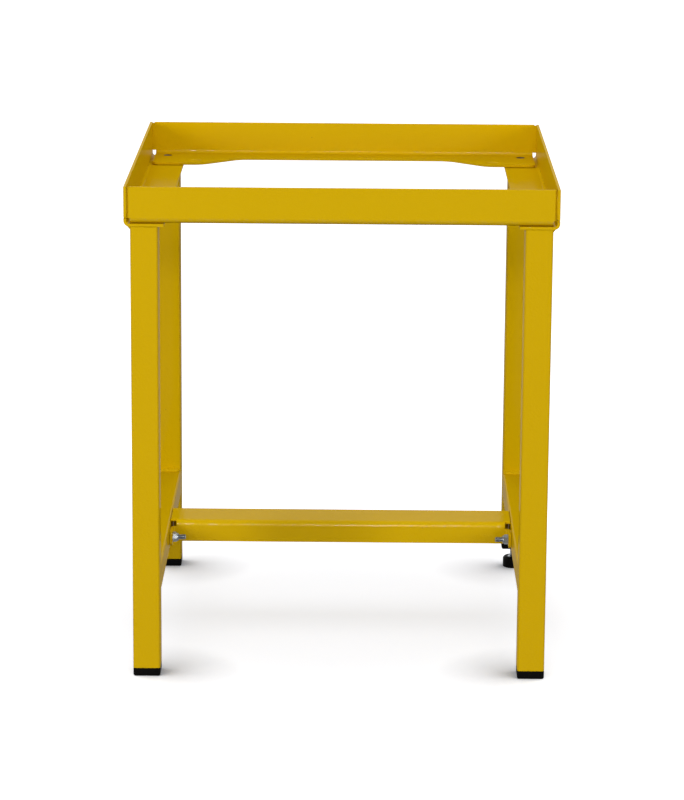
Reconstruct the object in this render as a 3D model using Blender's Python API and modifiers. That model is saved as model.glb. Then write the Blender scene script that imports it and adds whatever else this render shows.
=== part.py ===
"""A powder-coated steel floor stand that holds a square storage chest in an open tray.

Four folded-sheet rails make the tray, four square-tube legs carry it, and two tube stretchers with a
bolted cross rail brace the legs near the floor. One leg ends in a screw-in levelling foot.

Metres, +Z up. The origin is on the floor under the middle of the stand, and +Y points to the back.
"""
import math

import bmesh
import bpy
from mathutils import Matrix, Vector

# Overall size
STAND_WIDTH = 0.470
STAND_DEPTH = 0.470
STAND_HEIGHT = 0.550

# Gaps between pieces
WELD_GAP = 0.0003          # between pieces that are welded together or seated on each other
BOLT_CLEARANCE = 0.0003    # all round a bolt or stud in its hole
PLUG_CLEARANCE = 0.0005    # all round a plastic plug in its tube

# Folded sheet of the rails
SHEET = 0.003
BEND_RADIUS = 0.0035       # inside radius of every bend
SIDE_RAIL_HEIGHT = 0.0435
SIDE_RAIL_FLANGE = 0.0435
END_RAIL_LIFT = 0.0005     # slit between an end rail's flange and the side rail's flange under it
END_RAIL_FLANGE = 0.037    # depth of the flange between its gussets
GUSSET_DEPTH = 0.077
GUSSET_LENGTH = 0.062      # full-depth stretch at each end of an end rail
GUSSET_RUN = 0.045         # length of the slope from full depth down to the plain flange
GUSSET_FILLET = 0.025
GUSSET_CORNER = 0.006
RELIEF_WIDTH = 0.004       # an end rail's flange stops short of the side rail's bend by this much
RELIEF_HEIGHT = 0.006
CORNER_HOLE = 0.011
CORNER_HOLE_INSET = 0.0225

# Square tube of the legs and stretchers
TUBE = 0.030
TUBE_WALL = 0.0015
TUBE_CORNER = 0.0025
LEG_INSET = 0.007          # side rail's outer face to the leg's outer face
STRETCHER_TOP = 0.122      # height of the stretchers' upper face

# Cross rail
CROSS_DEPTH = 0.060
CROSS_FRONT = 0.025        # how far the channel's front web lies before the middle of the stand
CROSS_HEIGHT = 0.025
CROSS_RELIEF = 0.0045      # slot between the top of the channel and a tab
TAB_LENGTH = 0.022         # how far a tab stands forward of the web
TAB_CORNER = 0.004

# M6 bolts and lock nuts of the cross rail
BOLT = 0.006
BOLT_HEAD_ACROSS = 0.010
BOLT_HEAD_HEIGHT = 0.004
BOLT_TIP = 0.0008
BOLT_PROUD = 0.0085        # thread that shows past the nut
NUT_HEIGHT = 0.0065
NUT_COLLAR_HEIGHT = 0.0016
NUT_COLLAR = 0.0088

# Plastic end caps
FOOT_HEIGHT = 0.009
FOOT_ROUND = 0.0022
PLUG_LENGTH = 0.022
PLUG_WALL = 0.002
PLUG_LIP = 0.0016          # how far a lip stands out from the plug's core
PLUG_LIP_HEIGHT = 0.003
PLUG_LIP_SLOPE = 0.002     # part of a lip's height over which it slopes out
PLUG_LIPS = 3
PLUG_BITE = 0.001          # overlap of plug and sole before they are joined

# Levelling foot
PAD_DIAMETER = 0.025
PAD_HEIGHT = 0.013
PAD_SHOULDER = 0.0035
PAD_FOOT_ROUND = 0.0008
STUD = 0.008
STUD_FLANGE = 0.0136
STUD_FLANGE_HEIGHT = 0.003
STUD_SHOWING = 0.012       # bare thread between the pad and the insert
STUD_PROUD = 0.012         # thread that stands past the insert's nut, inside the leg
STUD_TIP = 0.001
INSERT_NUT_ACROSS = 0.013
INSERT_NUT_HEIGHT = 0.0065

# Fineness of round shapes
BEND_STEPS = 6
ARC_STEPS = 8
CORNER_SEGMENTS = 4
FOOT_SEGMENTS = 3
ROUND_STEPS = 32
FASTENER_STEPS = 24
HEXAGON_SIDES = 6
SQUARE_SIDES = 4
MERGE = 0.000001
OVERSHOOT = 0.005          # how far a cutter reaches past what it cuts
SMOOTH_ANGLE = math.radians(30)

# Places that several pieces share
LEG_X = STAND_WIDTH / 2 - LEG_INSET - TUBE / 2
LEG_Y = STAND_DEPTH / 2 - TUBE / 2
TRAY_FLOOR = STAND_HEIGHT - SIDE_RAIL_HEIGHT
STRETCHER_FACE = LEG_X - TUBE / 2
TAB_TOP = STRETCHER_TOP - SHEET - CROSS_RELIEF
TAB_BOTTOM = STRETCHER_TOP - CROSS_HEIGHT
BEND_MIDDLE = BEND_RADIUS + SHEET / 2
BOLT_Y = -CROSS_FRONT - (TAB_LENGTH + BEND_RADIUS) / 2
BOLT_Z = (TAB_TOP + TAB_BOTTOM) / 2
INSERT_BOTTOM = PAD_HEIGHT + STUD_SHOWING
PLUG_HALF = TUBE / 2 - TUBE_WALL - PLUG_CLEARANCE


def finish(name, colour, roughness, metallic):
    """A plain Principled material."""
    material = bpy.data.materials.new(name)
    material.use_nodes = True
    shader = material.node_tree.nodes["Principled BSDF"]
    shader.inputs["Base Color"].default_value = (*colour, 1.0)
    shader.inputs["Roughness"].default_value = roughness
    shader.inputs["Metallic"].default_value = metallic
    material.diffuse_color = (*colour, 1.0)
    return material


def working_object(name, mesh):
    """An object in the workshop collection, for a shape that is still being made."""
    obj = bpy.data.objects.new(name, mesh)
    obj.hide_render = True
    obj.display_type = 'WIRE'
    workshop.objects.link(obj)
    return obj


def object_from(bm, name):
    """A working object that takes over a bmesh."""
    mesh = bpy.data.meshes.new(name)
    bm.to_mesh(mesh)
    bm.free()
    return working_object(name, mesh)


def baked(obj):
    """The closed mesh that an object's modifiers make. The object itself is removed."""
    bpy.context.view_layer.update()
    graph = bpy.context.evaluated_depsgraph_get()
    mesh = bpy.data.meshes.new_from_object(obj.evaluated_get(graph))
    mesh.transform(obj.matrix_world)
    bm = bmesh.new()
    bm.from_mesh(mesh)
    bmesh.ops.remove_doubles(bm, verts=bm.verts, dist=MERGE)
    bmesh.ops.recalc_face_normals(bm, faces=bm.faces)
    bm.to_mesh(mesh)
    bm.free()
    mesh.shade_smooth()
    mesh.set_sharp_from_angle(angle=SMOOTH_ANGLE)
    bpy.data.objects.remove(obj)
    return mesh


def combined(obj, others, operation):
    """The object cut by, joined with or kept inside the other objects, one after another."""
    for other in others:
        boolean = obj.modifiers.new(operation.lower(), 'BOOLEAN')
        boolean.operation = operation
        boolean.solver = 'EXACT'
        boolean.object = other
    mesh = baked(obj)
    for other in others:
        bpy.data.objects.remove(other)
    return working_object(mesh.name, mesh)


def thickened(obj, thickness, offset):
    """Give an open sheet its thickness."""
    solidify = obj.modifiers.new("thickness", 'SOLIDIFY')
    solidify.thickness = thickness
    solidify.offset = offset
    solidify.use_even_offset = True
    mesh = baked(obj)
    return working_object(mesh.name, mesh)


def flat_sheet(bm, centre, across, up, width, height):
    """One flat rectangle, the part of a sheet that its folds start from."""
    turn = Matrix((across, up, Vector(across).cross(Vector(up)))).transposed()
    place = Matrix.Translation(centre) @ turn.to_4x4() @ Matrix.Diagonal((width, height, 1.0, 1.0))
    bmesh.ops.create_grid(bm, x_segments=1, y_segments=1, size=0.5, matrix=place)


def edges_where(bm, test):
    """The edges with both ends at places that pass a test."""
    return [edge for edge in bm.edges if all(test(vert.co) for vert in edge.verts)]


def fold(bm, edges, pivot, axis, angle):
    """Bend a sheet on from these edges, round a line through the pivot. Gives the far edges."""
    bent = bmesh.ops.spin(bm, geom=edges, cent=pivot, axis=axis, angle=angle, steps=BEND_STEPS)
    return [item for item in bent["geom_last"] if isinstance(item, bmesh.types.BMEdge)]


def extend(bm, edges, shift):
    """Carry a sheet straight on from these edges. Gives the far edges."""
    grown = bmesh.ops.extrude_edge_only(bm, edges=edges)
    verts = {item for item in grown["geom"] if isinstance(item, bmesh.types.BMVert)}
    bmesh.ops.translate(bm, verts=list(verts), vec=shift)
    return [edge for edge in bm.edges if verts.issuperset(edge.verts)]


def near(value, target):
    """Whether two lengths are the same place."""
    return abs(value - target) < 10 * MERGE


def rounded_outline(corners):
    """Points of a closed outline. A corner is (x, y, radius), and an arc of that radius rounds it."""
    points = []
    for index, (x, y, radius) in enumerate(corners):
        corner = Vector((x, y))
        if radius == 0:
            points.append(corner)
            continue
        back = (Vector(corners[index - 1][:2]) - corner).normalized()
        onward = (Vector(corners[(index + 1) % len(corners)][:2]) - corner).normalized()
        half_angle = back.angle(onward) / 2
        centre = corner + (back + onward).normalized() * (radius / math.sin(half_angle))
        spoke = corner + back * (radius / math.tan(half_angle)) - centre
        turn = math.copysign(math.pi - 2 * half_angle, onward.cross(back))
        for step in range(ARC_STEPS + 1):
            points.append(centre + Matrix.Rotation(turn * step / ARC_STEPS, 2) @ spoke)
    return points


def prism(name, points, low, high):
    """A flat outline in X and Y, extruded from one height to another."""
    curve = bpy.data.curves.new(name, 'CURVE')
    curve.dimensions = '2D'
    curve.fill_mode = 'BOTH'
    curve.extrude = (high - low) / 2
    spline = curve.splines.new('POLY')
    spline.points.add(len(points) - 1)
    for spline_point, (x, y) in zip(spline.points, points):
        spline_point.co = (x, y, 0.0, 1.0)
    spline.use_cyclic_u = True
    obj = working_object(name, curve)
    obj.location.z = (low + high) / 2
    return working_object(name, baked(obj))


def block(name, low, high):
    """A box between two corners."""
    bm = bmesh.new()
    bmesh.ops.create_cube(bm, size=1.0)
    low, high = Vector(low), Vector(high)
    bmesh.ops.scale(bm, verts=bm.verts, vec=high - low)
    bmesh.ops.translate(bm, verts=bm.verts, vec=(low + high) / 2)
    return object_from(bm, name)


def rod(name, diameter, start, end, sides=ROUND_STEPS):
    """A straight cylinder, or a prism with few sides, from one point to another."""
    start, end = Vector(start), Vector(end)
    bm = bmesh.new()
    turn = (end - start).to_track_quat('Z', 'Y').to_matrix().to_4x4()
    bmesh.ops.create_cone(bm, cap_ends=True, segments=sides, radius1=diameter / 2, radius2=diameter / 2,
                          depth=(end - start).length, matrix=Matrix.Translation((start + end) / 2) @ turn)
    return object_from(bm, name)


def hexagon(name, across, low, high):
    """An upright hexagonal prism of a given width across its flats."""
    corners = across / math.cos(math.pi / HEXAGON_SIDES)
    return rod(name, corners, (0, 0, low), (0, 0, high), HEXAGON_SIDES)


def turned(name, profile, steps=ROUND_STEPS):
    """A solid of revolution. The profile is (radius, height), and runs down the outer side."""
    return revolved(name, [(radius, 0.0, height) for radius, height in profile], steps)


def square_turned(name, profile):
    """A square solid whose half width follows a profile of (half width, height)."""
    return revolved(name, [(half, half, height) for half, height in profile], SQUARE_SIDES)


def revolved(name, points, steps):
    """A profile taken once round the Z axis."""
    bm = bmesh.new()
    verts = [bm.verts.new(point) for point in points]
    for first, second in zip(verts, verts[1:]):
        bm.edges.new((first, second))
    obj = object_from(bm, name)
    screw = obj.modifiers.new("turn", 'SCREW')
    screw.axis = 'Z'
    screw.angle = 2 * math.pi
    screw.steps = steps
    screw.render_steps = steps
    screw.use_merge_vertices = True
    screw.merge_threshold = MERGE
    return working_object(name, baked(obj))


def square_tube(length):
    """A length of square tube with rounded corners, standing on the XY plane."""
    bm = bmesh.new()
    bmesh.ops.create_cube(bm, size=1.0)
    bmesh.ops.scale(bm, verts=bm.verts, vec=(TUBE, TUBE, length))
    bmesh.ops.translate(bm, verts=bm.verts, vec=(0, 0, length / 2))
    ends = [face for face in bm.faces if abs(face.normal.z) > 0.5]
    bmesh.ops.delete(bm, geom=ends, context='FACES_ONLY')
    upright = [edge for edge in bm.edges if not near(edge.verts[0].co.z, edge.verts[1].co.z)]
    bmesh.ops.bevel(bm, geom=upright, offset=TUBE_CORNER, segments=CORNER_SEGMENTS, profile=0.5,
                    affect='EDGES', material=-1)
    return thickened(object_from(bm, "tube"), TUBE_WALL, -1)


def side_rail():
    """An angle folded from sheet: upstand at X = 0, flange towards +X, bottom at Z = 0."""
    bm = bmesh.new()
    fold_height = SHEET / 2 + BEND_MIDDLE
    flat_sheet(bm, (SHEET / 2, 0, (SIDE_RAIL_HEIGHT + fold_height) / 2), (0, 1, 0), (0, 0, 1),
               STAND_DEPTH, SIDE_RAIL_HEIGHT - fold_height)
    lower = edges_where(bm, lambda place: near(place.z, fold_height))
    bent = fold(bm, lower, (SHEET / 2 + BEND_MIDDLE, 0, fold_height), (0, 1, 0), -math.pi / 2)
    extend(bm, bent, (SIDE_RAIL_FLANGE - SHEET / 2 - BEND_MIDDLE, 0, 0))
    return thickened(object_from(bm, "side_rail"), SHEET, 0)


def end_rail():
    """An angle with gusset ends: upstand at Y = 0, flange towards +Y, bottom at Z = 0."""
    height = SIDE_RAIL_HEIGHT - SHEET - END_RAIL_LIFT
    half = STAND_WIDTH / 2 - SHEET - WELD_GAP
    flange_half = STAND_WIDTH / 2 - SHEET - RELIEF_WIDTH
    bend_outside = SHEET + BEND_RADIUS
    fold_height = SHEET / 2 + BEND_MIDDLE
    bm = bmesh.new()
    flat_sheet(bm, (0, SHEET / 2, (height + fold_height) / 2), (1, 0, 0), (0, 0, 1),
               2 * half, height - fold_height)
    lower = edges_where(bm, lambda place: near(place.z, fold_height))
    bent = fold(bm, lower, (0, SHEET / 2 + BEND_MIDDLE, fold_height), (1, 0, 0), math.pi / 2)
    extend(bm, bent, (0, GUSSET_DEPTH + OVERSHOOT - SHEET / 2 - BEND_MIDDLE, 0))
    rail = thickened(object_from(bm, "end_rail"), SHEET, 0)

    slope_start = half - GUSSET_LENGTH
    slope_end = slope_start - GUSSET_RUN
    right_side = [
        (half + OVERSHOOT, -OVERSHOOT, 0),
        (half + OVERSHOOT, bend_outside, 0),
        (flange_half, bend_outside, 0),
        (flange_half, GUSSET_DEPTH, GUSSET_CORNER),
        (slope_start, GUSSET_DEPTH, GUSSET_FILLET),
        (slope_end, END_RAIL_FLANGE, GUSSET_FILLET),
    ]
    left_side = [(-x, y, radius) for x, y, radius in reversed(right_side)]
    outline = rounded_outline(right_side + left_side)
    blank = prism("blank", outline, -OVERSHOOT, height + OVERSHOOT)
    rail = combined(rail, [blank], 'INTERSECT')

    cutters = []
    for side in (-1, 1):
        hole_x = side * (STAND_WIDTH / 2 - CORNER_HOLE_INSET)
        cutters.append(rod("hole", CORNER_HOLE, (hole_x, CORNER_HOLE_INSET, -OVERSHOOT),
                           (hole_x, CORNER_HOLE_INSET, SHEET + OVERSHOOT)))
        inner, outer = side * flange_half, side * (half + OVERSHOOT)
        cutters.append(block("relief", (min(inner, outer), -OVERSHOOT, -OVERSHOOT),
                             (max(inner, outer), bend_outside + OVERSHOOT, RELIEF_HEIGHT)))
    return combined(rail, cutters, 'DIFFERENCE')


def stretcher():
    """A tube along Y between two legs, cross-drilled for the cross rail's bolt."""
    length = 2 * LEG_Y - TUBE - 2 * WELD_GAP
    tube = square_tube(length)
    tube.matrix_world = Matrix.Translation((0, -length / 2, 0)) @ Matrix.Rotation(-math.pi / 2, 4, 'X')
    bolt_height = BOLT_Z - (STRETCHER_TOP - TUBE / 2)
    hole = rod("hole", BOLT + 2 * BOLT_CLEARANCE, (-TUBE / 2 - OVERSHOOT, BOLT_Y, bolt_height),
               (TUBE / 2 + OVERSHOOT, BOLT_Y, bolt_height))
    return combined(tube, [hole], 'DIFFERENCE')


def cross_rail():
    """A channel, open below, with a tab bent forward at each end of its front web, in its real place."""
    middle_y = -CROSS_FRONT + SHEET / 2
    back_y = CROSS_DEPTH - CROSS_FRONT - SHEET / 2
    middle_top = STRETCHER_TOP - SHEET / 2
    tab_middle = STRETCHER_FACE - WELD_GAP - SHEET / 2
    web_half = tab_middle - BEND_MIDDLE
    web_top = middle_top - BEND_MIDDLE
    bm = bmesh.new()
    flat_sheet(bm, (0, middle_y, (web_top + TAB_BOTTOM) / 2), (1, 0, 0), (0, 0, 1),
               2 * web_half, web_top - TAB_BOTTOM)
    bmesh.ops.bisect_plane(bm, geom=bm.verts[:] + bm.edges[:] + bm.faces[:],
                           plane_co=(0, 0, TAB_TOP), plane_no=(0, 0, 1))

    top = edges_where(bm, lambda place: near(place.z, web_top))
    bent = fold(bm, top, (0, middle_y + BEND_MIDDLE, web_top), (1, 0, 0), -math.pi / 2)
    back = extend(bm, bent, (0, back_y - middle_y - 2 * BEND_MIDDLE, 0))
    bent = fold(bm, back, (0, back_y - BEND_MIDDLE, web_top), (1, 0, 0), -math.pi / 2)
    extend(bm, bent, (0, 0, TAB_BOTTOM - web_top))
    channel_end = STRETCHER_FACE - WELD_GAP
    for side in (-1, 1):
        end = edges_where(bm, lambda place: near(place.x, side * web_half)
                          and place.y > middle_y + BEND_MIDDLE - MERGE)
        extend(bm, end, (side * (channel_end - web_half), 0, 0))
        web_end = edges_where(bm, lambda place: near(place.x, side * web_half)
                              and near(place.y, middle_y) and place.z < TAB_TOP + MERGE)
        bent = fold(bm, web_end, (side * web_half, middle_y - BEND_MIDDLE, 0), (0, 0, 1), -side * math.pi / 2)
        tip = extend(bm, bent, (0, BEND_MIDDLE - SHEET / 2 - TAB_LENGTH, 0))
        corners = [vert for edge in tip for vert in edge.verts]
        bmesh.ops.bevel(bm, geom=list(set(corners)), offset=TAB_CORNER, segments=CORNER_SEGMENTS,
                        profile=0.5, affect='VERTICES', material=-1)
    bmesh.ops.recalc_face_normals(bm, faces=bm.faces)
    rail = thickened(object_from(bm, "cross_rail"), SHEET, 0)
    hole = rod("hole", BOLT + 2 * BOLT_CLEARANCE, (-STRETCHER_FACE, BOLT_Y, BOLT_Z),
               (STRETCHER_FACE, BOLT_Y, BOLT_Z))
    return combined(rail, [hole], 'DIFFERENCE')


def bolt():
    """A hexagon bolt along +Z, with its head under Z = 0."""
    length = 2 * WELD_GAP + TUBE + SHEET + WELD_GAP + NUT_HEIGHT + BOLT_PROUD
    shank = turned("bolt", [(0, length), (BOLT / 2 - BOLT_TIP, length), (BOLT / 2, length - BOLT_TIP),
                            (BOLT / 2, -BOLT_HEAD_HEIGHT / 2), (0, -BOLT_HEAD_HEIGHT / 2)], FASTENER_STEPS)
    return combined(shank, [hexagon("head", BOLT_HEAD_ACROSS, -BOLT_HEAD_HEIGHT, 0)], 'UNION')


def lock_nut():
    """A lock nut along +Z, with its round collar at the far end."""
    nut = hexagon("lock_nut", BOLT_HEAD_ACROSS, 0, NUT_HEIGHT - NUT_COLLAR_HEIGHT)
    collar = rod("collar", NUT_COLLAR, (0, 0, NUT_HEIGHT / 2), (0, 0, NUT_HEIGHT))
    bore = rod("bore", BOLT + 2 * BOLT_CLEARANCE, (0, 0, -OVERSHOOT), (0, 0, NUT_HEIGHT + OVERSHOOT),
               FASTENER_STEPS)
    return combined(combined(nut, [collar], 'UNION'), [bore], 'DIFFERENCE')


def sole():
    """The square head of a foot or insert: the tube's outline, with its lower edges rounded."""
    bm = bmesh.new()
    bmesh.ops.create_cube(bm, size=1.0)
    bmesh.ops.scale(bm, verts=bm.verts, vec=(TUBE, TUBE, FOOT_HEIGHT))
    bmesh.ops.translate(bm, verts=bm.verts, vec=(0, 0, FOOT_HEIGHT / 2))
    upright = [edge for edge in bm.edges if not near(edge.verts[0].co.z, edge.verts[1].co.z)]
    bmesh.ops.bevel(bm, geom=upright, offset=TUBE_CORNER, segments=CORNER_SEGMENTS, profile=0.5,
                    affect='EDGES', material=-1)
    lower = edges_where(bm, lambda place: near(place.z, 0))
    bmesh.ops.bevel(bm, geom=lower, offset=FOOT_ROUND, segments=FOOT_SEGMENTS, profile=0.5,
                    affect='EDGES', material=-1)
    return object_from(bm, "sole")


def plug_side():
    """The outer side of a plug, from its top down, with lips that slope up to grip the tube."""
    core = PLUG_HALF - PLUG_LIP
    top = FOOT_HEIGHT + PLUG_LENGTH
    pitch = (PLUG_LENGTH - PLUG_LIP_HEIGHT) / PLUG_LIPS
    side = [(core, top)]
    for lip in range(PLUG_LIPS):
        lip_top = top - PLUG_LIP_HEIGHT / 2 - lip * pitch
        side.append((core, lip_top))
        side.append((PLUG_HALF, lip_top - PLUG_LIP_SLOPE))
        side.append((PLUG_HALF, lip_top - PLUG_LIP_HEIGHT))
        side.append((core, lip_top - PLUG_LIP_HEIGHT))
    side.append((core, FOOT_HEIGHT - PLUG_BITE))
    return side


def foot_cap():
    """A cap with a hollow lipped plug, standing on the XY plane."""
    hollow = PLUG_HALF - PLUG_LIP - PLUG_WALL
    inside = [(0, FOOT_HEIGHT), (hollow, FOOT_HEIGHT), (hollow, FOOT_HEIGHT + PLUG_LENGTH)]
    plug = square_turned("foot_cap", inside + plug_side() + [(0, FOOT_HEIGHT - PLUG_BITE)])
    return combined(plug, [sole()], 'UNION')


def insert():
    """A plug with a bore for the stud and a pocket that keeps the nut from turning."""
    top = FOOT_HEIGHT + PLUG_LENGTH
    plug = square_turned("insert", [(0, top)] + plug_side() + [(0, FOOT_HEIGHT - PLUG_BITE)])
    plug = combined(plug, [sole()], 'UNION')
    bore = rod("bore", STUD + 2 * BOLT_CLEARANCE, (0, 0, -OVERSHOOT), (0, 0, top + OVERSHOOT))
    pocket = hexagon("pocket", INSERT_NUT_ACROSS + 2 * WELD_GAP, top - INSERT_NUT_HEIGHT - WELD_GAP,
                     top + OVERSHOOT)
    return combined(plug, [bore, pocket], 'DIFFERENCE')


def insert_nut():
    """The hexagon nut in the insert, from Z = 0 up."""
    nut = hexagon("insert_nut", INSERT_NUT_ACROSS, 0, INSERT_NUT_HEIGHT)
    bore = rod("bore", STUD + 2 * BOLT_CLEARANCE, (0, 0, -OVERSHOOT), (0, 0, INSERT_NUT_HEIGHT + OVERSHOOT))
    return combined(nut, [bore], 'DIFFERENCE')


def levelling_stud():
    """A stud whose foot is a round flange, level with the top of the pad."""
    top = INSERT_BOTTOM + FOOT_HEIGHT + PLUG_LENGTH + STUD_PROUD
    flange_edge = STUD_TIP / 2
    return turned("levelling_stud", [
        (0, top), (STUD / 2 - STUD_TIP, top), (STUD / 2, top - STUD_TIP), (STUD / 2, PAD_HEIGHT),
        (STUD_FLANGE / 2 - flange_edge, PAD_HEIGHT), (STUD_FLANGE / 2, PAD_HEIGHT - flange_edge),
        (STUD_FLANGE / 2, PAD_HEIGHT - STUD_FLANGE_HEIGHT), (0, PAD_HEIGHT - STUD_FLANGE_HEIGHT)])


def levelling_pad():
    """A round pad with a soft shoulder and a round pocket for the stud's flange."""
    radius = PAD_DIAMETER / 2
    pocket = STUD_FLANGE / 2 + BOLT_CLEARANCE
    pocket_floor = PAD_HEIGHT - STUD_FLANGE_HEIGHT - WELD_GAP
    shoulder = []
    for step in range(ARC_STEPS + 1):
        angle = math.pi / 2 * (1 - step / ARC_STEPS)
        shoulder.append((radius - PAD_SHOULDER * (1 - math.cos(angle)),
                         PAD_HEIGHT - PAD_SHOULDER * (1 - math.sin(angle))))
    foot = [(radius, PAD_FOOT_ROUND), (radius - PAD_FOOT_ROUND, 0), (0, 0)]
    return turned("levelling_pad", [(0, pocket_floor), (pocket, pocket_floor), (pocket, PAD_HEIGHT)]
                  + shoulder + foot)


def place(name, shape, material, location, rotation=(0, 0, 0), parent=None):
    """A finished piece of the stand, at its place. Copies of a piece share its mesh."""
    obj = bpy.data.objects.new(name, shape)
    stand.objects.link(obj)
    obj.location = location
    obj.rotation_euler = rotation
    obj.parent = parent
    if not shape.materials:
        shape.materials.append(material)
    return obj


def shape_of(obj):
    """The mesh of a finished working object, which is then removed."""
    mesh = obj.data
    bpy.data.objects.remove(obj)
    return mesh


for old in list(bpy.data.objects):
    bpy.data.objects.remove(old)
stand = bpy.data.collections.new("tool_chest_stand")
bpy.context.scene.collection.children.link(stand)
workshop = bpy.data.collections.new("workshop")
bpy.context.scene.collection.children.link(workshop)

YELLOW = finish("yellow_powder_coat", (0.61, 0.39, 0.005), 0.38, 0.0)
BLACK = finish("black_plastic", (0.012, 0.012, 0.013), 0.5, 0.0)
ZINC = finish("zinc_plated_steel", (0.55, 0.57, 0.58), 0.35, 1.0)
HALF_TURN = (0, 0, math.pi)

# Tray
side_shape = shape_of(side_rail())
place("left_side_rail", side_shape, YELLOW, (-STAND_WIDTH / 2, 0, TRAY_FLOOR))
place("right_side_rail", side_shape, YELLOW, (STAND_WIDTH / 2, 0, TRAY_FLOOR), HALF_TURN)
end_shape = shape_of(end_rail())
end_rail_floor = TRAY_FLOOR + SHEET + END_RAIL_LIFT
place("front_rail", end_shape, YELLOW, (0, -STAND_DEPTH / 2, end_rail_floor))
place("rear_rail", end_shape, YELLOW, (0, STAND_DEPTH / 2, end_rail_floor), HALF_TURN)

# Legs, of which the rear right one is cut shorter for the levelling foot
leg_top = TRAY_FLOOR - WELD_GAP
leg_bottom = FOOT_HEIGHT + WELD_GAP
short_leg_bottom = INSERT_BOTTOM + FOOT_HEIGHT + WELD_GAP
leg_shape = shape_of(square_tube(leg_top - leg_bottom))
foot_shape = shape_of(foot_cap())
capped_corners = (("front_left", -LEG_X, -LEG_Y), ("front_right", LEG_X, -LEG_Y),
                  ("rear_left", -LEG_X, LEG_Y))
for corner, x, y in capped_corners:
    place(corner + "_leg", leg_shape, YELLOW, (x, y, leg_bottom))
    place(corner + "_foot", foot_shape, BLACK, (x, y, 0))
short_leg_shape = shape_of(square_tube(leg_top - short_leg_bottom))
place("rear_right_leg", short_leg_shape, YELLOW, (LEG_X, LEG_Y, short_leg_bottom))

# Stretchers and the cross rail bolted between them
stretcher_shape = shape_of(stretcher())
bolt_shape = shape_of(bolt())
nut_shape = shape_of(lock_nut())
nut_face = STRETCHER_FACE - WELD_GAP - SHEET - WELD_GAP
head_face = LEG_X + TUBE / 2 + WELD_GAP
for side, sign in (("left", -1), ("right", 1)):
    inwards = (0, -sign * math.pi / 2, 0)
    place(side + "_stretcher", stretcher_shape, YELLOW, (sign * LEG_X, 0, STRETCHER_TOP - TUBE / 2))
    place(side + "_bolt", bolt_shape, ZINC, (sign * head_face, BOLT_Y, BOLT_Z), inwards)
    place(side + "_nut", nut_shape, ZINC, (sign * nut_face, BOLT_Y, BOLT_Z), inwards)
place("cross_rail", shape_of(cross_rail()), YELLOW, (0, 0, 0))

# Levelling foot, on the axis of its leg
foot_axis = bpy.data.objects.new("levelling_foot_axis", None)
stand.objects.link(foot_axis)
foot_axis.location = (LEG_X, LEG_Y, 0)
nut_seat = INSERT_BOTTOM + FOOT_HEIGHT + PLUG_LENGTH - INSERT_NUT_HEIGHT
place("threaded_insert", shape_of(insert()), BLACK, (LEG_X, LEG_Y, INSERT_BOTTOM))
place("insert_nut", shape_of(insert_nut()), ZINC, (LEG_X, LEG_Y, nut_seat))
place("levelling_stud", shape_of(levelling_stud()), ZINC, (0, 0, 0), parent=foot_axis)
place("levelling_pad", shape_of(levelling_pad()), BLACK, (0, 0, 0), parent=foot_axis)
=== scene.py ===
import math

import bmesh
import bpy
from mathutils import Matrix, Vector


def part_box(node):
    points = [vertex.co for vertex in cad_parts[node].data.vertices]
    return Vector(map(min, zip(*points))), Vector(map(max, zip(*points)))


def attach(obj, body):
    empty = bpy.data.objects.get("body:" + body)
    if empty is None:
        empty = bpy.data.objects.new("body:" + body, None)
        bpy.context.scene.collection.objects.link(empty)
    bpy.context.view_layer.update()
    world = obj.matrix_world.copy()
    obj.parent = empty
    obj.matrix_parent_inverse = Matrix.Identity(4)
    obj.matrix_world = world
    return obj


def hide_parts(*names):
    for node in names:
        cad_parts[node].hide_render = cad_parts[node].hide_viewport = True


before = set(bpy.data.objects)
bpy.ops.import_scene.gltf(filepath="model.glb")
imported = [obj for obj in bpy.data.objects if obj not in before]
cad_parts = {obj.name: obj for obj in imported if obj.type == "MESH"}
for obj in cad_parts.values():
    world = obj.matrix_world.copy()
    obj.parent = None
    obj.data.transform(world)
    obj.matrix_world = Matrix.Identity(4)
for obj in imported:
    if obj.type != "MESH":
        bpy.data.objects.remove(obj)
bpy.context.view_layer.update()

# Side rails: the left and right walls of the tray. Each is a strip of 3 mm steel sheet, sheared to length,
# deburred and folded once on a press brake. The whole welded frame gets one glossy yellow powder coat.
side_low, side_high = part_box("left_side_rail")
front_low, front_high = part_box("front_rail")
sheet = 0.003
bend_inside = 0.0035
bend_outside = bend_inside + sheet
bend_run = math.pi / 2 * (bend_inside + sheet / 2)
bend_steps = 12
sharp_angle = math.radians(50)
sheared_edge = 0.0004
edge_steps = 3
relief_height = 0.006
slit_half = 0.0010
slit_ramp = 0.0001
slit_depth = 0.0035
coat_colours = ((0.600, 0.382, 0.0010), (0.620, 0.396, 0.0014))
coat_nib = (0.30, 0.17, 0.004)
coat_gloss = 0.18
bend_gloss = 1.0
glint_rise = 15
glint_fall = 5
peel_size = 0.0026
peel_depth = 0.00016
cut_slack = 1e-7
slack = 1e-6


def round_sharp_edges(bm, radius):
    """Round every sharp edge of a piece, as deburring and the coat over it do."""
    sharp = [edge for edge in bm.edges if edge.calc_face_angle(0.0) > sharp_angle]
    bmesh.ops.bevel(bm, geom=sharp, offset=radius, segments=edge_steps, profile=0.5, affect='EDGES',
                    material=-1)


def cut_along(bm, faces, place, across):
    """Cut these faces along a plane."""
    verts = dict.fromkeys(vert for face in faces for vert in face.verts)
    edges = dict.fromkeys(edge for face in faces for edge in face.edges)
    bmesh.ops.bisect_plane(bm, geom=[*verts, *edges, *faces], plane_co=place, plane_no=across,
                           dist=cut_slack)


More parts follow.
